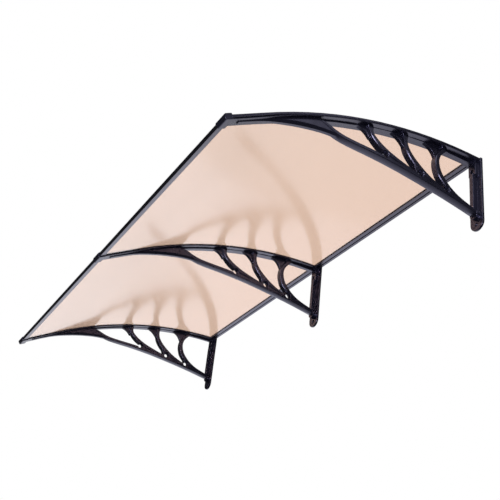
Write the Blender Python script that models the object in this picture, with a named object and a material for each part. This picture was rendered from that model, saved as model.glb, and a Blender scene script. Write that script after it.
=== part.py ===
"""Polycarbonate door canopy: two bent sheets on three moulded wall brackets.

Metres, +Z up. X runs along the wall, the wall is the plane Y = 0 and the
canopy reaches out to -Y. The origin is the middle of the back of the middle
bracket's wall plate.
"""
import math

import bmesh
import bpy

# Overall sizes
BRACKET_PITCH = 0.982      # centre to centre, along the wall
SIDES = {"left": -1, "middle": 0, "right": 1}
CREST_RADIUS = 1.648       # top of the cover strips
CREST_HEIGHT = 0.140       # crest above the origin
PROJECTION = 0.967         # wall to the front face of the front bars
STRAIGHT_REACH = 0.830     # wall to where the arch runs on straight
SEAT_GAP = 0.0003          # between pieces that touch
SHEET_THICKNESS = 0.005
SHEET_EDGE_INSET = 0.0035  # sheet edge to a bracket's centre plane

# Bracket arm: a flat flange under the sheets with a narrow rib below it,
# as (reach from wall, rib depth)
FLANGE_WIDTH = 0.053
FLANGE_TIP_WIDTH = 0.040
FLANGE_TAPER = (0.740, 0.860)      # reaches between which it narrows
FLANGE_THICKNESS = 0.0034
RIB_WIDTH = 0.0120
RIB_DEPTHS = [(0.010, 0.0100), (0.125, 0.0085), (0.175, 0.0016), (0.440, 0.0016),
              (0.500, 0.0040), (0.690, 0.0040)]
FLANGE_REAR = 0.006        # wall to the flange's rear end
EDGE_CHAMFER = 0.0012
FLANGE_CHAMFER = 0.0008

# Lower arm and the three curved struts, as (reach from wall, depth below the arm's
# top, thickness); the struts swell towards their feet and flare where they meet the arm
LOWER_ARM_TIP_WIDTH = 0.0265
LOWER_ARM_FOOT_WIDTH = 0.0310
LOWER_ARM_KEEL = 0.0026    # how far its middle stands below its edges
LOWER_ARM_ROUTE = [
    (0.6620, 0.0027, 0.0040), (0.6400, 0.0152, 0.0090), (0.6200, 0.0288, 0.0115),
    (0.5980, 0.0458, 0.0125), (0.5600, 0.0674, 0.0125), (0.5000, 0.0892, 0.0125),
    (0.4400, 0.1072, 0.0128), (0.3350, 0.1376, 0.0128), (0.2000, 0.1735, 0.0128),
    (0.1000, 0.1960, 0.0128), (0.0120, 0.2132, 0.0130),
]
STRUT_WIDTH = 0.0265
STRUT_CHAMFER = 0.0026
STRUT_ROUTES = [
    [(0.4630, 0.0045, 0.0240), (0.4597, 0.0216, 0.0160), (0.4555, 0.0328, 0.0155),
     (0.4482, 0.0450, 0.0162), (0.4227, 0.0720, 0.0185), (0.3845, 0.0989, 0.0176),
     (0.3400, 0.1211, 0.0150), (0.2900, 0.1422, 0.0130), (0.2200, 0.1679, 0.0120)],
    [(0.3225, 0.0032, 0.0250), (0.3220, 0.0224, 0.0170), (0.3175, 0.0464, 0.0162),
     (0.3085, 0.0681, 0.0190), (0.2920, 0.0912, 0.0206), (0.2684, 0.1152, 0.0220),
     (0.2350, 0.1398, 0.0176), (0.1900, 0.1642, 0.0140), (0.1200, 0.1926, 0.0120)],
    [(0.1560, 0.0038, 0.0260), (0.1580, 0.0116, 0.0190), (0.1648, 0.0210, 0.0154),
     (0.1780, 0.0376, 0.0154), (0.1862, 0.0617, 0.0170), (0.1853, 0.0868, 0.0192),
     (0.1790, 0.1075, 0.0202), (0.1680, 0.1287, 0.0216), (0.1380, 0.1588, 0.0176),
     (0.1000, 0.1820, 0.0140), (0.0600, 0.1964, 0.0125), (0.0150, 0.2091, 0.0120)],
]
# The thin front branch that gives each strut its forked top, filled in between
BRANCH_WIDTH = 0.0140
BRANCH_THICKNESS = 0.0052
FORK_WIDTH = 0.0090
FORK_TOP_DEPTH = 0.0020    # its filling starts inside the flange
BRANCH_ROUTES = [
    [(0.5120, 0.0032), (0.4900, 0.0158), (0.4740, 0.0297), (0.4600, 0.0484)],
    [(0.3740, 0.0045), (0.3530, 0.0178), (0.3380, 0.0320), (0.3220, 0.0523)],
    [(0.2380, 0.0038), (0.2150, 0.0175), (0.2000, 0.0355), (0.1880, 0.0594)],
]
# Fillings at the struts' feet, each with a round hole dished from both sides
WEB_WIDTH = 0.0205
WEB_CORE = 0.0050
WEB_HOLE_DIAMETER = 0.0160
WEB_DISH_DIAMETER = 0.0310
WEB_HOLES = [(0.4005, 0.1048), (0.2565, 0.1430), (0.1470, 0.1708)]
WEB_FRONT = [0.4215, 0.2900, 0.1700]

# Solid horn between the arm's tip and the lower arm, upright at the top and sloped
# inwards below, as (back from the front bars' face, depth below the arm's top, width)
HORN_BOTTOM_WIDTH = 0.0110
HORN_ROUTE = [
    (0.050, 0.0075, 0.0160), (0.120, 0.0090, 0.0200), (0.167, 0.0149, 0.0240),
    (0.227, 0.0257, 0.0280), (0.277, 0.0358, 0.0280), (0.327, 0.0468, 0.0250),
    (0.377, 0.0612, 0.0235), (0.417, 0.0770, 0.0200),
]

# Wall leg
LEG_WIDTH = 0.060
LEG_THICKNESS = 0.0075
LEG_TOP_DROP = -0.0040     # the plate's top stands above the crest
LEG_BOTTOM_DROP = 0.2810
LEG_SPINE_WIDTH = 0.0170
LEG_SPINE_DEPTH = 0.0195
HUB_WIDTH = 0.0340
HUB_DEPTH = 0.0150
HUB_DROP = 0.0710
FOOT_RADIUS = 0.0180
FOOT_DEPTH = 0.0130
FOOT_DROP = 0.2245
WALL_HOLE_DIAMETER = 0.0070
WALL_POCKET_DIAMETER = 0.0150
WALL_HOLE_DROPS = [0.0500, 0.2590]

# Cover strips over the sheets' edges
COVER_THICKNESS = 0.0022

# Front bars and rear bars: channels that grip the sheets' edges
FRONT_BAR_DEPTH = 0.0200
FRONT_BAR_HEIGHT = 0.0128
BAR_WALL = 0.0018
REAR_BAR_DEPTH = 0.0290
REAR_BAR_HEIGHT = 0.0120
REAR_SLOT_DEPTH = 0.0125
REAR_GROOVE_WIDTH = 0.0045
REAR_GROOVE_DEPTH = 0.0035
REAR_GROOVE_BACK = 0.0130  # bar's rear face to the groove's middle

# Moulded clips at the brackets' tips
CLIP_DEPTH = 0.0270        # each is as wide as the arm's flange
CLIP_HEIGHT = 0.0200
CLIP_NOSE = 0.0030         # how far a clip stands in front of the bars
CLIP_ROUNDING = 0.0055     # radius of its top and bottom front edges

# Screws that hold the cover strips down
SCREWS_PER_BRACKET = 4
SCREW_DIAMETER = 0.0040
SCREW_CLEARANCE = 0.0003
SCREW_HEAD_DIAMETER = 0.0095
SCREW_HEAD_HEIGHT = 0.0026
SCREW_BITE = 0.0030        # length inside the bracket's arm

ARC_STEPS = 18
ROUTE_STEPS = 2            # per stretch of a smooth route
RIB_STEPS = 7
ROUND_SIDES = 16
SMALL_ROUND_SIDES = 10
CLIP_ARC_STEPS = 4
MERGE_DISTANCE = 0.00002
FLAT_ANGLE = 0.001

# Wall to the sheets' rear edges, which sit in the rear bars' slots
SHEET_REAR = LEG_THICKNESS + SEAT_GAP + REAR_BAR_DEPTH - REAR_SLOT_DEPTH + SEAT_GAP

# Radii of the stacked layers, measured from the arch's centre
COVER_BOTTOM_RADIUS = CREST_RADIUS - COVER_THICKNESS
SHEET_TOP_RADIUS = COVER_BOTTOM_RADIUS - SEAT_GAP
SHEET_BOTTOM_RADIUS = SHEET_TOP_RADIUS - SHEET_THICKNESS
FLANGE_TOP_RADIUS = SHEET_BOTTOM_RADIUS - SEAT_GAP
FLANGE_BOTTOM_RADIUS = FLANGE_TOP_RADIUS - FLANGE_THICKNESS
SHEET_MIDDLE_RADIUS = (SHEET_TOP_RADIUS + SHEET_BOTTOM_RADIUS) / 2
STRAIGHT_ANGLE = math.asin(STRAIGHT_REACH / SHEET_MIDDLE_RADIUS)


def on_arch(radius, angle):
    """Point (y, z) at an angle in front of the crest, or as far along the straight end."""
    turn = min(angle, STRAIGHT_ANGLE)
    along = (angle - turn) * SHEET_MIDDLE_RADIUS
    return (-radius * math.sin(turn) - along * math.cos(turn),
            CREST_HEIGHT - CREST_RADIUS + radius * math.cos(turn) - along * math.sin(turn))


def angle_at(reach, radius=SHEET_MIDDLE_RADIUS):
    """Angle at which a layer of this radius is this far from the wall."""
    turn = min(math.asin(reach / radius), STRAIGHT_ANGLE)
    return turn + (reach - radius * math.sin(turn)) / math.cos(turn) / SHEET_MIDDLE_RADIUS


def arch_height(radius, reach):
    """Height of a layer at a distance from the wall."""
    return on_arch(radius, angle_at(reach, radius))[1]


FRONT_ANGLE = angle_at(PROJECTION)
CLIP_REAR_ANGLE = FRONT_ANGLE - (CLIP_DEPTH - CLIP_NOSE) / SHEET_MIDDLE_RADIUS
TIP_ANGLE = CLIP_REAR_ANGLE - SEAT_GAP / SHEET_MIDDLE_RADIUS


def arch_route(radius, rear_reach, front_angle):
    """Points along an arc, from the front to the rear."""
    rear_angle = angle_at(rear_reach, radius)
    return [on_arch(radius, front_angle + (rear_angle - front_angle) * i / ARC_STEPS)
            for i in range(ARC_STEPS + 1)]


def as_points(route):
    """(reach, depth below the arm's top) pairs as (y, z) points."""
    return [(-reach, arch_height(FLANGE_TOP_RADIUS, reach) - depth, *rest)
            for reach, depth, *rest in route]


def smooth(points):
    """Catmull-Rom curve through the points."""
    first = [2 * a - b for a, b in zip(points[0], points[1])]
    last = [2 * a - b for a, b in zip(points[-1], points[-2])]
    chain = [first, *points, last]
    curve = []
    for p0, p1, p2, p3 in zip(chain, chain[1:], chain[2:], chain[3:]):
        for i in range(ROUTE_STEPS):
            t = i / ROUTE_STEPS
            curve.append(tuple(
                0.5 * (2 * b + (c - a) * t + (2 * a - 5 * b + 4 * c - d) * t ** 2
                       + (3 * b - a - 3 * c + d) * t ** 3)
                for a, b, c, d in zip(p0, p1, p2, p3)))
    curve.append(tuple(points[-1]))
    return curve


def new_object(name, verts, faces):
    """Object from closed faces, with its normals pointing out."""
    mesh = bpy.data.meshes.new(name)
    mesh.from_pydata(verts, [], faces)
    bm = bmesh.new()
    bm.from_mesh(mesh)
    bmesh.ops.triangulate(bm, faces=bm.faces)
    bmesh.ops.recalc_face_normals(bm, faces=bm.faces)
    bm.to_mesh(mesh)
    bm.free()
    obj = bpy.data.objects.new(name, mesh)
    bpy.context.scene.collection.objects.link(obj)
    return obj


def skin(name, rings):
    """Closed body through rings of points, with a flat cap at each end."""
    size = len(rings[0])
    verts = [point for ring in rings for point in ring]
    faces = []
    for k in range(len(rings) - 1):
        for i in range(size):
            j = (i + 1) % size
            faces.append((k * size + i, k * size + j, (k + 1) * size + j, (k + 1) * size + i))
    faces.append(tuple(range(size)))
    faces.append(tuple(range((len(rings) - 1) * size, len(rings) * size)))
    return new_object(name, verts, faces)


def normal_at(route, i):
    """Unit normal of a (y, z) route at one of its points."""
    before = route[max(i - 1, 0)]
    after = route[min(i + 1, len(route) - 1)]
    ty, tz = after[0] - before[0], after[1] - before[1]
    length = math.hypot(ty, tz)
    return -tz / length, ty / length


def sweep(name, route, section, centre=0.0):
    """Section of (x, offset) pairs carried along a (y, z) route."""
    rings = []
    for i, (y, z) in enumerate(route):
        ny, nz = normal_at(route, i)
        rings.append([(centre + x, y + n * ny, z + n * nz) for x, n in section])
    return skin(name, rings)


def ribbon(name, route, first_width, last_width, cut=EDGE_CHAMFER, keel=0.0):
    """Strip along a (reach, depth, thickness) route, with cut corners and a keel below."""
    points = smooth(as_points(route))
    rings = []
    for i, (y, z, thickness) in enumerate(points):
        ny, nz = normal_at(points, i)
        width = first_width + (last_width - first_width) * i / (len(points) - 1)
        section = chamfered(width, -thickness / 2, thickness / 2, cut)
        if keel:
            section.insert(2, (0.0, -thickness / 2 - keel))
        rings.append([(x, y + n * ny, z + n * nz) for x, n in section])
    return skin(name, rings)


def slab(name, outline, x0, x1):
    """Flat (y, z) outline carried from x0 to x1."""
    return skin(name, [[(x, y, z) for y, z in outline] for x in (x0, x1)])


def chamfered(width, low, high, cut=EDGE_CHAMFER):
    """Rectangle section with cut corners."""
    half = width / 2
    return [(-half, low + cut), (-half + cut, low), (half - cut, low), (half, low + cut),
            (half, high - cut), (half - cut, high), (-half + cut, high), (-half, high - cut)]


def arc_of(centre, radius, start, end, steps):
    """Points on a circle, both ends included."""
    return [(centre[0] + radius * math.cos(start + (end - start) * i / steps),
             centre[1] + radius * math.sin(start + (end - start) * i / steps))
            for i in range(steps + 1)]


def rod(name, start, end, diameter, sides=ROUND_SIDES):
    """Straight round bar between two points."""
    axis = [b - a for a, b in zip(start, end)]
    length = math.sqrt(sum(c * c for c in axis))
    axis = [c / length for c in axis]
    side = (1.0, 0.0, 0.0) if abs(axis[0]) < 0.9 else (0.0, 1.0, 0.0)
    dot = sum(a * b for a, b in zip(axis, side))
    u = [s - dot * a for s, a in zip(side, axis)]
    size = math.sqrt(sum(c * c for c in u))
    u = [c / size for c in u]
    v = [axis[1] * u[2] - axis[2] * u[1], axis[2] * u[0] - axis[0] * u[2],
         axis[0] * u[1] - axis[1] * u[0]]
    rings = []
    for point in (start, end):
        ring = []
        for i in range(sides):
            turn = 2 * math.pi * (i + 0.5) / sides
            ring.append(tuple(p + diameter / 2 * (math.cos(turn) * a + math.sin(turn) * b)
                              for p, a, b in zip(point, u, v)))
        rings.append(ring)
    return skin(name, rings)


def combine(body, pieces, operation):
    """Union with, or cut by, the pieces; the pieces are used up."""
    group = bpy.data.collections.new("operands")
    bpy.context.scene.collection.children.link(group)
    for piece in pieces:
        group.objects.link(piece)
    modifier = body.modifiers.new("combine", "BOOLEAN")
    modifier.operation = operation
    modifier.operand_type = "COLLECTION"
    modifier.collection = group
    modifier.solver = "EXACT"
    bpy.context.view_layer.update()
    depsgraph = bpy.context.evaluated_depsgraph_get()
    result = bpy.data.meshes.new_from_object(body.evaluated_get(depsgraph))
    body.modifiers.clear()
    bm = bmesh.new()
    bm.from_mesh(result)
    bmesh.ops.remove_doubles(bm, verts=bm.verts, dist=MERGE_DISTANCE)
    bmesh.ops.dissolve_degenerate(bm, dist=MERGE_DISTANCE, edges=bm.edges)
    bmesh.ops.dissolve_limit(bm, angle_limit=FLAT_ANGLE, verts=bm.verts, edges=bm.edges)
    bmesh.ops.triangulate(bm, faces=bm.faces)
    bm.to_mesh(result)
    bm.free()
    body.data = result
    for piece in pieces:
        bpy.data.objects.remove(piece)
    bpy.data.collections.remove(group)
    return body


def finish_object(obj, material, angle=35.0):
    """Material and smooth shading between faces that meet gently."""
    obj.data.materials.clear()
    obj.data.materials.append(material)
    obj.data.shade_smooth()
    obj.data.set_sharp_from_angle(angle=math.radians(angle))
    return obj


def material(name, colour, roughness, metallic=0.0, alpha=1.0):
    """Plain surface material."""
    mat = bpy.data.materials.new(name)
    mat.use_nodes = True
    shader = mat.node_tree.nodes["Principled BSDF"]
    shader.inputs["Base Color"].default_value = (*colour, 1.0)
    shader.inputs["Roughness"].default_value = roughness
    shader.inputs["Metallic"].default_value = metallic
    shader.inputs["Alpha"].default_value = alpha
    return mat


def arm_flange():
    """Flange under the sheets, from the tip to the wall, narrower at the tip."""
    low, cut = -FLANGE_THICKNESS, FLANGE_CHAMFER
    near, far = FLANGE_TAPER
    route = arch_route(FLANGE_TOP_RADIUS, FLANGE_REAR, TIP_ANGLE)
    rings = []
    for i, (y, z) in enumerate(route):
        share = min(max((-y - near) / (far - near), 0.0), 1.0)
        half = (FLANGE_WIDTH + (FLANGE_TIP_WIDTH - FLANGE_WIDTH) * share) / 2
        ny, nz = normal_at(route, i)
        rings.append([(x, y + n * ny, z + n * nz) for x, n in (
            (-half, 0.0), (-half, low + cut), (-half + cut, low),
            (half - cut, low), (half, low + cut), (half, 0.0))])
    return skin("arm", rings)


def arm_rib():
    """Rib along the flange's underside, deeper towards the wall."""
    half, cut = RIB_WIDTH / 2, EDGE_CHAMFER / 2
    (near, _), (far, _) = RIB_DEPTHS[0], RIB_DEPTHS[-1]
    stations = [reach for reach, _ in RIB_DEPTHS]
    stations += [near + (far - near) * i / RIB_STEPS for i in range(1, RIB_STEPS)]
    rings = []
    for reach in sorted(stations):
        for (r0, d0), (r1, d1) in zip(RIB_DEPTHS, RIB_DEPTHS[1:]):
            if r0 <= reach <= r1:
                depth = d0 + (d1 - d0) * (reach - r0) / (r1 - r0)
        top = arch_height(FLANGE_TOP_RADIUS - FLANGE_THICKNESS / 2, reach)
        low = arch_height(FLANGE_BOTTOM_RADIUS - depth, reach)
        rings.append([(-half, -reach, top), (-half, -reach, low + cut), (-half + cut, -reach, low),
                      (half - cut, -reach, low), (half, -reach, low + cut), (half, -reach, top)])
    return skin("rib", rings)


def arm_parts():
    """Arched arm, lower arm, struts and branches of one bracket."""
    arm = arm_flange()
    parts = [ribbon("lower_arm", LOWER_ARM_ROUTE, LOWER_ARM_TIP_WIDTH, LOWER_ARM_FOOT_WIDTH,
                    keel=LOWER_ARM_KEEL)]
    for route in STRUT_ROUTES:
        parts.append(ribbon("strut", route, STRUT_WIDTH, STRUT_WIDTH, STRUT_CHAMFER))
    for route in BRANCH_ROUTES:
        half = BRANCH_THICKNESS / 2
        section = chamfered(BRANCH_WIDTH, -half, half, EDGE_CHAMFER / 2)
        parts.append(sweep("branch", smooth(as_points(route)), section))
    parts.append(arm_rib())
    return arm, parts


def horn():
    """Keel with sloped sides that deepens from the tip to the lower arm."""
    lower_arm = smooth(as_points(LOWER_ARM_ROUTE))
    route = [(PROJECTION - back, *rest) for back, *rest in HORN_ROUTE]
    rings = []
    for y, low, width in smooth(as_points(route)):
        high = arch_height(FLANGE_TOP_RADIUS, -y) - FLANGE_THICKNESS / 2
        below = [z for py, z, _ in lower_arm if py <= y]
        if below:
            high = min(high, below[-1])
        low = min(low, high - 4 * EDGE_CHAMFER)
        wide, half = width / 2, HORN_BOTTOM_WIDTH / 2
        slope = min(wide - half, high - low - EDGE_CHAMFER)
        rings.append([(-wide, y, high), (-wide, y, low + slope), (-half, y, low),
                      (half, y, low), (wide, y, low + slope), (wide, y, high)])
    return skin("horn", rings)


def webs():
    """Flat fillings between each strut's foot and the lower arm."""
    lower = smooth(as_points(LOWER_ARM_ROUTE))
    parts = []
    for route, front in zip(STRUT_ROUTES, WEB_FRONT):
        strut = smooth(as_points(route))
        last = max(i for i, p in enumerate(strut) if p[0] < -front)
        strut = strut[last:]
        arm = [p for p in lower if -front <= p[0] <= strut[-1][0]]
        outline = [p[:2] for p in strut + arm[::-1]]
        parts.append(slab("web", outline, -WEB_WIDTH / 2, WEB_WIDTH / 2))
    return parts


def fork_fillings():
    """Flat fillings between each strut's top and its branch."""
    parts = []
    for route, branch in zip(STRUT_ROUTES, BRANCH_ROUTES):
        joint = as_points(branch)[-1]
        strut = [p[:2] for p in smooth(as_points(route)) if p[1] >= joint[1]]
        top = as_points([(branch[0][0], FORK_TOP_DEPTH), (route[0][0], FORK_TOP_DEPTH)])
        outline = [*top, *strut, *smooth(as_points(branch))[::-1]]
        parts.append(slab("fork", outline, -FORK_WIDTH / 2, FORK_WIDTH / 2))
    return parts


def leg_plate():
    """Wall plate with a round foot and a chamfered front edge."""
    half = LEG_WIDTH / 2
    top = CREST_HEIGHT - LEG_TOP_DROP
    centre = (0.0, CREST_HEIGHT - LEG_BOTTOM_DROP + half)
    corner = 0.004
    rings = []
    for y, inset in ((0.0, 0.0), (-LEG_THICKNESS + EDGE_CHAMFER, 0.0),
                     (-LEG_THICKNESS, EDGE_CHAMFER)):
        outline = arc_of(centre, half - inset, math.pi, 2 * math.pi, ROUND_SIDES)
        for side, start in ((1, 0.0), (-1, math.pi / 2)):
            middle = (side * (half - corner), top - corner)
            outline += arc_of(middle, corner - inset, start, start + math.pi / 2, 3)
        rings.append([(x, y, z) for x, z in outline])
    return skin("leg_plate", rings)


def leg_parts():
    """Wall plate, its spine, the hub under the arm and the lower arm's foot."""
    spine_top = CREST_HEIGHT - HUB_DROP + 0.01
    foot_z = CREST_HEIGHT - FOOT_DROP
    inside = -LEG_THICKNESS / 2
    cut = EDGE_CHAMFER
    half = LEG_SPINE_WIDTH / 2
    front = -LEG_THICKNESS - LEG_SPINE_DEPTH
    rings = []
    for z in (foot_z, spine_top):
        rings.append([(-half, inside, z), (-half, front + cut, z), (-half + cut, front, z),
                      (half - cut, front, z), (half, front + cut, z), (half, inside, z)])
    spine = skin("leg_spine", rings)

    half = HUB_WIDTH / 2
    deep = -LEG_THICKNESS - HUB_DEPTH
    drop = CREST_HEIGHT - HUB_DROP
    levels = ((drop, 4 * cut), (drop + 4 * cut, 0.0), (CREST_HEIGHT - 0.030, 0.0),
              (arch_height(FLANGE_TOP_RADIUS, HUB_DEPTH + LEG_THICKNESS) - FLANGE_THICKNESS / 2, 0.0))
    rings = []
    for z, inset in levels:
        rings.append([(-half + inset, inside, z), (-half + inset, deep + inset + cut, z),
                      (-half + inset + cut, deep + inset, z), (half - inset - cut, deep + inset, z),
                      (half - inset, deep + inset + cut, z), (half - inset, inside, z)])
    hub = skin("hub", rings)

    foot = rod("foot", (0.0, inside, foot_z), (0.0, -LEG_THICKNESS - FOOT_DEPTH, foot_z),
               2 * FOOT_RADIUS, 2 * SMALL_ROUND_SIDES)
    return [leg_plate(), spine, hub, foot]


def screw_angles():
    """Where the cover screws stand along the arch."""
    first = angle_at(LEG_THICKNESS) + 0.045
    last = TIP_ANGLE - 0.03
    return [first + (last - first) * i / (SCREWS_PER_BRACKET - 1)
            for i in range(SCREWS_PER_BRACKET)]


def radial_rod(name, angle, low, high, diameter, sides, centre=0.0):
    """Round bar that stands square to the arch."""
    y0, z0 = on_arch(low, angle)
    y1, z1 = on_arch(high, angle)
    return rod(name, (centre, y0, z0), (centre, y1, z1), diameter, sides)


def bracket_cutters():
    """Dished web holes, wall holes with their pockets, and blind screw holes."""
    cutters = []
    face = LOWER_ARM_FOOT_WIDTH / 2
    for y, z in as_points(WEB_HOLES):
        rings = []
        for x, diameter in ((-face, WEB_DISH_DIAMETER), (-WEB_CORE / 2, WEB_HOLE_DIAMETER),
                            (WEB_CORE / 2, WEB_HOLE_DIAMETER), (face, WEB_DISH_DIAMETER)):
            circle = arc_of((y, z), diameter / 2, 0.1, 2 * math.pi + 0.1, ROUND_SIDES)[:-1]
            rings.append([(x, cy, cz) for cy, cz in circle])
        cutters.append(skin("cut", rings))
    for drop in WALL_HOLE_DROPS:
        z = CREST_HEIGHT - drop
        cutters.append(rod("cut", (0.0, 0.01, z), (0.0, -0.05, z), WALL_HOLE_DIAMETER,
                           SMALL_ROUND_SIDES))
        cutters.append(rod("cut", (0.0, -LEG_THICKNESS + 0.0025, z), (0.0, -0.06, z),
                           WALL_POCKET_DIAMETER))
    hole = SCREW_DIAMETER + 2 * SCREW_CLEARANCE
    floor = FLANGE_TOP_RADIUS - SCREW_BITE - 0.0005
    for angle in screw_angles():
        cutters.append(radial_rod("cut", angle, floor, CREST_RADIUS, hole, SMALL_ROUND_SIDES))
    return cutters


def bracket_mesh():
    """One moulded bracket as a single body."""
    body, parts = arm_parts()
    parts += [horn(), *webs(), *fork_fillings(), *leg_parts()]
    body = combine(body, parts, "UNION")
    body = combine(body, bracket_cutters(), "DIFFERENCE")
    mesh = body.data
    bpy.data.objects.remove(body)
    return mesh


def make_brackets(black):
    """Three copies of the moulded bracket."""
    mesh = bracket_mesh()
    for side, step in SIDES.items():
        obj = bpy.data.objects.new(f"bracket_{side}", mesh)
        bpy.context.scene.collection.objects.link(obj)
        obj.location.x = step * BRACKET_PITCH
        finish_object(obj, black)


def bays():
    """Each bay's name with its near and far X ends, between bracket centres."""
    return {"left": (-BRACKET_PITCH, 0.0), "right": (0.0, BRACKET_PITCH)}


def make_sheets(clear):
    """Two bent sheets, one to a bay."""
    front_cover = BAR_WALL + SEAT_GAP
    front_angle = FRONT_ANGLE - front_cover / SHEET_MIDDLE_RADIUS
    half = SHEET_THICKNESS / 2
    for bay, (x0, x1) in bays().items():
        route = arch_route(SHEET_MIDDLE_RADIUS, SHEET_REAR, front_angle)
        section = [(x0 + SHEET_EDGE_INSET, -half), (x1 - SHEET_EDGE_INSET, -half),
                   (x1 - SHEET_EDGE_INSET, half), (x0 + SHEET_EDGE_INSET, half)]
        finish_object(sweep(f"sheet_{bay}", route, section), clear)


def cover_section(side):
    """Cover strip: flat over the middle, stepped down past the outer sheets' edges."""
    half = FLANGE_WIDTH / 2
    top, low = 0.0, -COVER_THICKNESS
    floor = -(CREST_RADIUS - FLANGE_TOP_RADIUS - SEAT_GAP)
    step = SHEET_EDGE_INSET - SEAT_GAP
    bevel = EDGE_CHAMFER / 2
    if side == "middle":
        return [(-half, low), (half, low), (half, top - bevel), (half - bevel, top),
                (-half + bevel, top), (-half, top - bevel)]
    section = [(-half, low), (-step, low), (-step, floor), (half, floor),
               (half, top - bevel), (half - bevel, top), (-half + bevel, top),
               (-half, top - bevel)]
    if side == "left":
        section = [(-x, n) for x, n in section][::-1]
    return section


def make_covers(black):
    """Three strips along the arch, over the brackets."""
    for side, step in SIDES.items():
        route = arch_route(CREST_RADIUS, LEG_THICKNESS + SEAT_GAP, TIP_ANGLE)
        strip = sweep(f"cover_strip_{side}", route, cover_section(side), step * BRACKET_PITCH)
        cutters = [radial_rod("cut", angle, FLANGE_TOP_RADIUS - 0.002, CREST_RADIUS + 0.004,
                              SCREW_DIAMETER + 2 * SCREW_CLEARANCE, SMALL_ROUND_SIDES,
                              step * BRACKET_PITCH)
                   for angle in screw_angles()]
        finish_object(combine(strip, cutters, "DIFFERENCE"), black)


def channel(depth, height, slot_depth, slot_height, groove=None):
    """Channel outline (back, up): solid nose at 0, slot open at the other end."""
    half, slot = height / 2, slot_height / 2
    cut = EDGE_CHAMFER / 2
    outline = [(cut, -half), (0.0, -half + cut), (0.0, half - cut), (cut, half),
               (depth, half), (depth, slot), (depth - slot_depth, slot),
               (depth - slot_depth, -slot), (depth, -slot), (depth, -half)]
    if groove:
        middle, width, deep = groove
        outline += [(middle + width / 2, -half), (middle + width / 2, -half + deep),
                    (middle - width / 2, -half + deep), (middle - width / 2, -half)]
    return outline


def tilted(outline, angle, radius, nose):
    """Outline (back, up) set square to the arch at an angle."""
    y0, z0 = on_arch(radius, angle)
    turn = min(angle, STRAIGHT_ANGLE)
    back = (math.cos(turn), math.sin(turn))
    up = (-math.sin(turn), math.cos(turn))
    return [(y0 + (b - nose) * back[0] + u * up[0], z0 + (b - nose) * back[1] + u * up[1])
            for b, u in outline]


def make_front(black_metal, black):
    """Front bars between the clips, and the clips that hold the bars' ends."""
    slot = SHEET_THICKNESS + 2 * SEAT_GAP
    bar = channel(FRONT_BAR_DEPTH, FRONT_BAR_HEIGHT, FRONT_BAR_DEPTH - BAR_WALL, slot)
    bar = tilted(bar, FRONT_ANGLE, SHEET_MIDDLE_RADIUS, 0.0)
    reach = FLANGE_WIDTH / 2 + SEAT_GAP
    for bay, (x0, x1) in bays().items():
        finish_object(slab(f"front_bar_{bay}", bar, x0 + reach, x1 - reach), black_metal)
    half, turn = CLIP_HEIGHT / 2, CLIP_ROUNDING
    block = arc_of((turn, turn - half), turn, 1.5 * math.pi, math.pi, CLIP_ARC_STEPS)
    block += arc_of((turn, half - turn), turn, math.pi, 0.5 * math.pi, CLIP_ARC_STEPS)
    block += [(CLIP_DEPTH - EDGE_CHAMFER, half), (CLIP_DEPTH, half - EDGE_CHAMFER),
              (CLIP_DEPTH, EDGE_CHAMFER - half), (CLIP_DEPTH - EDGE_CHAMFER, -half)]
    block = tilted(block, FRONT_ANGLE, SHEET_MIDDLE_RADIUS, CLIP_NOSE)
    floor, past = CLIP_NOSE + BAR_WALL, CLIP_DEPTH + BAR_WALL
    gap = [(floor, -slot / 2), (floor, slot / 2), (past, slot / 2), (past, -slot / 2)]
    gap = tilted(gap, FRONT_ANGLE, SHEET_MIDDLE_RADIUS, CLIP_NOSE)
    wall = SHEET_EDGE_INSET - SEAT_GAP
    for side, step in SIDES.items():
        x = step * BRACKET_PITCH
        low = x + wall if side == "left" else x - FLANGE_WIDTH
        high = x - wall if side == "right" else x + FLANGE_WIDTH
        clip = slab(f"front_clip_{side}", block, x - FLANGE_WIDTH / 2, x + FLANGE_WIDTH / 2)
        clip = combine(clip, [slab("cut", gap, low, high)], "DIFFERENCE")
        finish_object(clip, black)


def make_rear_bars(black_metal):
    """Rear bars between the brackets, gripping the sheets' rear edges."""
    slot = SHEET_THICKNESS + 4 * SEAT_GAP
    outline = channel(REAR_BAR_DEPTH, REAR_BAR_HEIGHT, REAR_SLOT_DEPTH, slot,
                      (REAR_GROOVE_BACK, REAR_GROOVE_WIDTH, REAR_GROOVE_DEPTH))
    middle = arch_height(SHEET_MIDDLE_RADIUS, SHEET_REAR + REAR_SLOT_DEPTH / 2)
    bar = [(-LEG_THICKNESS - SEAT_GAP - back, middle + up) for back, up in outline]
    reach = FLANGE_WIDTH / 2 + SEAT_GAP
    for bay, (x0, x1) in bays().items():
        finish_object(slab(f"rear_bar_{bay}", bar, x0 + reach, x1 - reach), black_metal)


def make_screws(steel):
    """Domed screws through the cover strips."""
    seat = CREST_RADIUS + SEAT_GAP
    for side, step in SIDES.items():
        for number, angle in enumerate(screw_angles(), start=1):
            x = step * BRACKET_PITCH
            name = f"cover_screw_{side}_{number}"
            head = radial_rod(name, angle, seat, seat + SCREW_HEAD_HEIGHT,
                              SCREW_HEAD_DIAMETER, ROUND_SIDES, x)
            shank = radial_rod("shank", angle, FLANGE_TOP_RADIUS - SCREW_BITE,
                               seat + SCREW_HEAD_HEIGHT / 2, SCREW_DIAMETER,
                               SMALL_ROUND_SIDES, x)
            finish_object(combine(head, [shank], "UNION"), steel)


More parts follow.
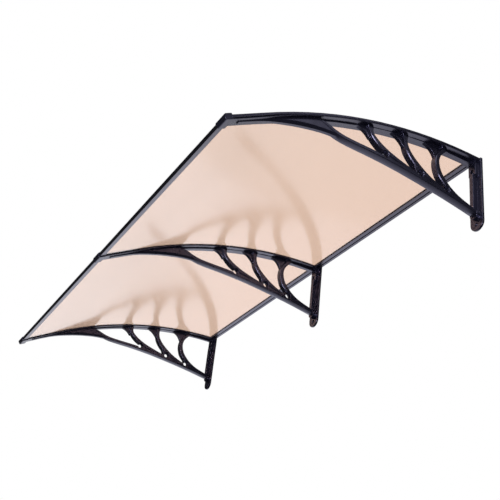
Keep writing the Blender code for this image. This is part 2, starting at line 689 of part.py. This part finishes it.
def main():
    """Build the canopy."""
    for obj in list(bpy.data.objects):
        bpy.data.objects.remove(obj)
    black = material("black_plastic", (0.012, 0.012, 0.016), 0.28)
    clear = material("bronze_polycarbonate", (0.78, 0.52, 0.38), 0.08, alpha=0.55)
    black_metal = material("black_aluminium", (0.014, 0.014, 0.018), 0.30)
    steel = material("screw_steel", (0.35, 0.35, 0.36), 0.35, metallic=1.0)
    make_brackets(black)
    make_sheets(clear)
    make_covers(black)
    make_front(black_metal, black)
    make_rear_bars(black_metal)
    make_screws(steel)


main()
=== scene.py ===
"""Looks of a polycarbonate door canopy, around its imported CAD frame."""
import math

import bmesh
import bpy
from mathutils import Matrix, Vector


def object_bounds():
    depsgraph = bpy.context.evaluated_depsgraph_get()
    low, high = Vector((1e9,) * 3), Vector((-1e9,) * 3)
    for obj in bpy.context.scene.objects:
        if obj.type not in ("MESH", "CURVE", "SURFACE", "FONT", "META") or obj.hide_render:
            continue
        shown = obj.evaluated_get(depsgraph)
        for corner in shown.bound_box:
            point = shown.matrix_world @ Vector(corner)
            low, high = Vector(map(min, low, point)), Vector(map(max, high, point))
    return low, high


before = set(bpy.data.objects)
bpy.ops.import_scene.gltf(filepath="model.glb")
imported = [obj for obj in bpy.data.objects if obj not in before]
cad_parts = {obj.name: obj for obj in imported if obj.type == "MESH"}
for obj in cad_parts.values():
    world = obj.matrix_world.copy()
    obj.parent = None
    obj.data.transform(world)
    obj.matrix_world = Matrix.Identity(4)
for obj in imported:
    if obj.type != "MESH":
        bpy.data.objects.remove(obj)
cad_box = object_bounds()
scene = bpy.context.scene


# Photograph's viewpoint: below the canopy and in front of it, off its right end, with a
# long lens. The shift only places the object in the frame, and colours are shown plainly.
CAMERA_PLACE = (2.6935, -1.6778, -1.6591)
CAMERA_TURN_DEGREES = (118.3895, -4.8092, 57.9015)
LENS_MM = 59.877
SENSOR_MM = 36.0
FRAME_SHIFT = (-0.0725, 0.0705)

camera_data = bpy.data.cameras.new("camera")
camera_data.sensor_width = SENSOR_MM
camera_data.lens = LENS_MM
camera_data.shift_x, camera_data.shift_y = FRAME_SHIFT
camera = bpy.data.objects.new("camera", camera_data)
camera.location = CAMERA_PLACE
camera.rotation_euler = [math.radians(turn) for turn in CAMERA_TURN_DEGREES]
scene.collection.objects.link(camera)
scene.camera = camera
scene.view_settings.view_transform = "Standard"


# Brackets, the cover strips over them and the clips at their tips: black ABS, injection
# moulded in one piece each. The strips are screwed to the brackets' arms, over the edges
# of the sheets.
ABS_BLACK = "#08080F"
ABS_FLOW = "#0D0D18"
ABS_GLOSS_TINT = "#D2CFFF"
ABS_GLOSS_LEVEL = 0.95
ABS_IOR = 1.53
ABS_ROUGHNESS = (0.24, 0.34)
ABS_EDGE_RADIUS = 0.0022
FLOW_MARK_MM = 60.0
TOOL_GRAIN_MM = 1.6        # the real grain is about 0.2 mm, too fine to show
TOOL_GRAIN_HEIGHT = 0.0002
TOOL_GRAIN_STRENGTH = 0.03
NOISE_RANGE = (0.3, 0.7)   # holds most values of a noise texture


def linear(code):
    """Linear RGBA of an sRGB hex colour."""
    parts = [int(code[i:i + 2], 16) / 255 for i in (1, 3, 5)]
    return (*[p / 12.92 if p <= 0.04045 else ((p + 0.055) / 1.055) ** 2.4 for p in parts], 1.0)


def add(tree, kind, settings=None, inputs=None):
    """Node of a kind with its settings, input values and links."""
    node = tree.nodes.new(kind)
    for name, value in (settings or {}).items():
        setattr(node, name, value)
    for name, value in (inputs or {}).items():
        if isinstance(value, bpy.types.NodeSocket):
            tree.links.new(value, node.inputs[name])
        else:
            node.inputs[name].default_value = value
    return node


def new_material(name):
    """Material with an empty Principled shader, and its node tree."""
    made = bpy.data.materials.new(name)
    made.use_nodes = True
    return made, made.node_tree, made.node_tree.nodes["Principled BSDF"]


def per_mm(size_mm):
    """Texture scale that repeats once in a size in millimetres."""
    return 1000.0 / size_mm


# Moulded in a lightly textured tool: near black, with a violet cast in a gloss that is soft
# on the flats and bright along the rounded edges. The plastic's flow leaves faint marks.
abs_black, tree, shader = new_material("moulded_black_abs")
place = add(tree, "ShaderNodeTexCoord")
flow = add(tree, "ShaderNodeTexNoise", inputs={
    "Vector": place.outputs["Object"], "Scale": per_mm(FLOW_MARK_MM), "Detail": 3.0, "Roughness": 0.55})
grain = add(tree, "ShaderNodeTexNoise", inputs={
    "Vector": place.outputs["Object"], "Scale": per_mm(TOOL_GRAIN_MM), "Detail": 2.0})
colour = add(tree, "ShaderNodeMix", {"data_type": "RGBA"}, {
    "Factor": flow.outputs["Fac"], "A": linear(ABS_BLACK), "B": linear(ABS_FLOW)})
gloss = add(tree, "ShaderNodeMapRange", inputs={
    "Value": flow.outputs["Fac"], "From Min": NOISE_RANGE[0], "From Max": NOISE_RANGE[1],
    "To Min": ABS_ROUGHNESS[0], "To Max": ABS_ROUGHNESS[1]})
edge = add(tree, "ShaderNodeBevel", {"samples": 8}, {"Radius": ABS_EDGE_RADIUS})
skin_bump = add(tree, "ShaderNodeBump", inputs={
    "Strength": TOOL_GRAIN_STRENGTH, "Distance": TOOL_GRAIN_HEIGHT,
    "Height": grain.outputs["Fac"], "Normal": edge.outputs["Normal"]})
tree.links.new(colour.outputs["Result"], shader.inputs["Base Color"])
tree.links.new(gloss.outputs["Result"], shader.inputs["Roughness"])
tree.links.new(skin_bump.outputs["Normal"], shader.inputs["Normal"])
shader.inputs["IOR"].default_value = ABS_IOR
shader.inputs["Specular IOR Level"].default_value = ABS_GLOSS_LEVEL
shader.inputs["Specular Tint"].default_value = linear(ABS_GLOSS_TINT)


def dress(names, finish):
    """Give CAD nodes a finish in every slot of theirs."""
    for name in names:
        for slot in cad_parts[name].material_slots:
            slot.material = finish


def nodes_of(*beginnings):
    """CAD nodes whose names start in one of these ways."""
    return [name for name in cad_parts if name.startswith(beginnings)]


mouldings = nodes_of("bracket_", "cover_strip_", "front_clip_")
dress(mouldings, abs_black)

# The mouldings' curves come as a few flat facets each, so their shading is smoothed,
# apart from edges sharper than this. The facets' corners are welded for that.
SHARP_EDGE_DEGREES = 32.0
WELD_DISTANCE = 0.00001

smoothing = bpy.data.node_groups.new("smooth_by_angle", "GeometryNodeTree")
smoothing.interface.new_socket("Geometry", in_out="INPUT", socket_type="NodeSocketGeometry")
smoothing.interface.new_socket("Geometry", in_out="OUTPUT", socket_type="NodeSocketGeometry")
facets = add(smoothing, "NodeGroupInput")
plain_normals = add(smoothing, "GeometryNodeRemoveAttribute", inputs={
    "Geometry": facets.outputs["Geometry"], "Name": "custom_normal"})
welded = add(smoothing, "GeometryNodeMergeByDistance", inputs={
    "Geometry": plain_normals.outputs["Geometry"], "Distance": WELD_DISTANCE})
soft_faces = add(smoothing, "GeometryNodeSetShadeSmooth", {"domain": "FACE"}, {
    "Geometry": welded.outputs["Geometry"], "Shade Smooth": True})
fold = add(smoothing, "GeometryNodeInputMeshEdgeAngle")
gentle = add(smoothing, "FunctionNodeCompare", {"operation": "LESS_THAN"}, {
    "A": fold.outputs["Unsigned Angle"], "B": math.radians(SHARP_EDGE_DEGREES)})
soft_edges = add(smoothing, "GeometryNodeSetShadeSmooth", {"domain": "EDGE"}, {
    "Geometry": soft_faces.outputs["Geometry"], "Shade Smooth": gentle.outputs["Result"]})
add(smoothing, "NodeGroupOutput", inputs={"Geometry": soft_edges.outputs["Geometry"]})


def smooth_shading(names):
    """Smooth the shading of CAD nodes, with their meshes left alone."""
    for name in names:
        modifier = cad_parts[name].modifiers.new("smooth_by_angle", "NODES")
        modifier.node_group = smoothing


smooth_shading(mouldings)


# Roof sheets: bronze-tinted polycarbonate, extruded as a thin flat sheet, bent over the
# brackets' arms and held down there by the cover strips.
BRONZE = "#EACAB6"
SHEET_GLOSS_TINT = "#C4DEFF"
SHEET_ROUGHNESS = 0.14
POLYCARBONATE_IOR = 1.585
FLUTE_MM = 11.0            # the real lines are about 6 mm apart, too fine to show
FLUTE_HEIGHT = 0.0003
FLUTE_STRENGTH = 0.01

# Tinted in the melt and extruded: it filters the light to a warm tan, mirrors what is near
# it at a low angle, a little cooler, and shows faint lines from the wall to the front.
polycarbonate, tree, shader = new_material("bronze_polycarbonate_sheet")
place = add(tree, "ShaderNodeTexCoord")
across = add(tree, "ShaderNodeSeparateXYZ", inputs={"Vector": place.outputs["Object"]})
turns = add(tree, "ShaderNodeMath", {"operation": "MULTIPLY"}, {
    0: across.outputs["X"], 1: 2 * math.pi * per_mm(FLUTE_MM)})
flutes = add(tree, "ShaderNodeMath", {"operation": "SINE"}, {0: turns.outputs["Value"]})
flute_bump = add(tree, "ShaderNodeBump", inputs={
    "Strength": FLUTE_STRENGTH, "Distance": FLUTE_HEIGHT, "Height": flutes.outputs["Value"]})
tree.links.new(flute_bump.outputs["Normal"], shader.inputs["Normal"])
shader.inputs["Base Color"].default_value = linear(BRONZE)
shader.inputs["Roughness"].default_value = SHEET_ROUGHNESS
shader.inputs["IOR"].default_value = POLYCARBONATE_IOR
shader.inputs["Transmission Weight"].default_value = 1.0
shader.inputs["Specular Tint"].default_value = linear(SHEET_GLOSS_TINT)
sheets = nodes_of("sheet_")
dress(sheets, polycarbonate)
smooth_shading(sheets)


# Front and rear bars: aluminium channels, extruded, cut to the width of a bay and pushed
# onto the sheets' front and rear edges.
ANODISED_BLACK = "#5E5C6A"   # what the black layer leaves of the metal's reflection
BAR_ROUGHNESS = (0.24, 0.36)
BAR_EDGE_RADIUS = 0.0014
DIE_LINE_MM = 0.9          # the real die lines are finer than 0.1 mm, too fine to show
DIE_LINE_RUN = 0.02        # scale of the pattern along the bar, so that it draws out to lines
DIE_LINE_HEIGHT = 0.0001
DIE_LINE_STRENGTH = 0.06

# Anodised black after the extrusion: a satin sheen, with fine die lines along the bar.
aluminium, tree, shader = new_material("anodised_black_aluminium")
place = add(tree, "ShaderNodeTexCoord")
stretch = add(tree, "ShaderNodeMapping", inputs={
    "Vector": place.outputs["Object"], "Scale": (DIE_LINE_RUN, 1.0, 1.0)})
lines = add(tree, "ShaderNodeTexNoise", inputs={
    "Vector": stretch.outputs["Vector"], "Scale": per_mm(DIE_LINE_MM), "Detail": 2.0})
sheen = add(tree, "ShaderNodeMapRange", inputs={
    "Value": lines.outputs["Fac"], "From Min": NOISE_RANGE[0], "From Max": NOISE_RANGE[1],
    "To Min": BAR_ROUGHNESS[0], "To Max": BAR_ROUGHNESS[1]})
edge = add(tree, "ShaderNodeBevel", {"samples": 6}, {"Radius": BAR_EDGE_RADIUS})
line_bump = add(tree, "ShaderNodeBump", inputs={
    "Strength": DIE_LINE_STRENGTH, "Distance": DIE_LINE_HEIGHT,
    "Height": lines.outputs["Fac"], "Normal": edge.outputs["Normal"]})
tree.links.new(sheen.outputs["Result"], shader.inputs["Roughness"])
tree.links.new(line_bump.outputs["Normal"], shader.inputs["Normal"])
shader.inputs["Base Color"].default_value = linear(ANODISED_BLACK)
shader.inputs["Metallic"].default_value = 1.0
dress(nodes_of("front_bar_", "rear_bar_"), aluminium)


# Screws through the cover strips: steel, cold formed and zinc plated, driven into the
# brackets' arms.
ZINC = "#A9ABAD"
ZINC_ROUGHNESS = (0.28, 0.45)
DULL_PATCH_MM = 2.0

# Plated in a barrel: a light grey metal that is bright in places and dull in others.
zinc, tree, shader = new_material("zinc_plated_steel")
place = add(tree, "ShaderNodeTexCoord")
patches = add(tree, "ShaderNodeTexNoise", inputs={
    "Vector": place.outputs["Object"], "Scale": per_mm(DULL_PATCH_MM), "Detail": 2.0})
dull = add(tree, "ShaderNodeMapRange", inputs={
    "Value": patches.outputs["Fac"], "From Min": NOISE_RANGE[0], "From Max": NOISE_RANGE[1],
    "To Min": ZINC_ROUGHNESS[0], "To Max": ZINC_ROUGHNESS[1]})
tree.links.new(dull.outputs["Result"], shader.inputs["Roughness"])
shader.inputs["Base Color"].default_value = linear(ZINC)
shader.inputs["Metallic"].default_value = 1.0
screws = nodes_of("cover_screw_")
dress(screws, zinc)
smooth_shading(screws)


# Studio floor: painted pale and far below, as under a canopy over a door. Through the
# sheets it is plain white, and reflections leave it out, since the world stands for it there.
WHITE = "#FFFFFF"
FLOOR_PALE = "#EDEDEE"
FLOOR_ROUGHNESS = 0.9
FLOOR_BELOW = 2.2
FLOOR_SIZE = 40.0

floor_mesh = bpy.data.meshes.new("floor")
ground = bmesh.new()
bmesh.ops.create_grid(ground, x_segments=1, y_segments=1, size=FLOOR_SIZE / 2)
ground.to_mesh(floor_mesh)
ground.free()
floor = bpy.data.objects.new("floor", floor_mesh)
floor.location.z = -FLOOR_BELOW
floor.visible_glossy = False
scene.collection.objects.link(floor)
pale, tree, shader = new_material("pale_floor_paint")
shader.inputs["Base Color"].default_value = linear(FLOOR_PALE)
shader.inputs["Roughness"].default_value = FLOOR_ROUGHNESS
rays = add(tree, "ShaderNodeLightPath")
seen_white = add(tree, "ShaderNodeEmission", inputs={"Color": linear(WHITE), "Strength": 1.0})
either = add(tree, "ShaderNodeMixShader", inputs={
    0: rays.outputs["Is Transmission Ray"], 1: shader.outputs["BSDF"], 2: seen_white.outputs["Emission"]})
tree.links.new(either.outputs["Shader"], tree.nodes["Material Output"].inputs["Surface"])
floor_mesh.materials.append(pale)


# Studio lamps: a large soft one above in front, one low in front for the edges, a small one
# off the right end and a pale blue one low behind, on the left. The last three leave the
# floor out, so that they throw no bright patch on it.
PALE_BLUE = "#E4EEFF"
MIDDLE = [(low + high) / 2 for low, high in zip(*cad_box)]
NEAR_ARM = (1.0, -0.7, -0.05)


def soft_light(name, place, target, size, power, colour=WHITE):
    """Square area light that faces a point."""
    data = bpy.data.lights.new(name, "AREA")
    data.size = size
    data.energy = power
    data.color = linear(colour)[:3]
    light = bpy.data.objects.new(name, data)
    light.location = place
    light.rotation_euler = (Vector(target) - Vector(place)).to_track_quat("-Z", "Y").to_euler()
    scene.collection.objects.link(light)
    return light


soft_light("key_light", place=(2.0, -2.5, 3.0), target=MIDDLE, size=3.0, power=60.0)
off_floor = bpy.data.collections.new("lamps_off_floor")
off_floor.objects.link(floor)
off_floor.collection_objects[0].light_linking.link_state = "EXCLUDE"
for lamp in (
        soft_light("edge_light", place=(3.2, -2.6, -1.2), target=MIDDLE, size=1.4, power=110.0),
        soft_light("side_light", place=(2.9, 0.4, 1.5), target=NEAR_ARM, size=0.8, power=2.0),
        soft_light("low_light", place=(-3.9, 1.6, -1.3), target=MIDDLE, size=2.6, power=10.0,
                   colour=PALE_BLUE)):
    lamp.light_linking.receiver_collection = off_floor


# World: white to the camera and through the sheets. In reflections it is white behind the
# canopy and dim towards the viewer, and all other rays find an even daylight.
BACKGROUND_WAY = (-0.75, 0.60, -0.28)
SWEEP = (0.66, 0.92)       # cosines from that way between which dim turns to white
DIM = 0.04
DAYLIGHT = 0.85

world = bpy.data.worlds.new("studio")
scene.world = world
world.use_nodes = True
tree = world.node_tree
background = tree.nodes["Background"]
way = add(tree, "ShaderNodeTexCoord")
towards = add(tree, "ShaderNodeVectorMath", {"operation": "DOT_PRODUCT"}, {
    0: way.outputs["Generated"], 1: BACKGROUND_WAY})
sweep = add(tree, "ShaderNodeMapRange", inputs={
    "Value": towards.outputs["Value"], "From Min": SWEEP[0], "From Max": SWEEP[1],
    "To Min": DIM, "To Max": 1.0})
rays = add(tree, "ShaderNodeLightPath")
straight = add(tree, "ShaderNodeMath", {"operation": "MAXIMUM"}, {
    0: rays.outputs["Is Camera Ray"], 1: rays.outputs["Is Transmission Ray"]})
lit = add(tree, "ShaderNodeMix", {"data_type": "FLOAT"}, {
    "Factor": rays.outputs["Is Glossy Ray"], "A": DAYLIGHT, "B": sweep.outputs["Result"]})
strength = add(tree, "ShaderNodeMath", {"operation": "MAXIMUM"}, {
    0: lit.outputs["Result"], 1: straight.outputs["Value"]})
tree.links.new(strength.outputs["Value"], background.inputs["Strength"])
background.inputs["Color"].default_value = linear(WHITE)
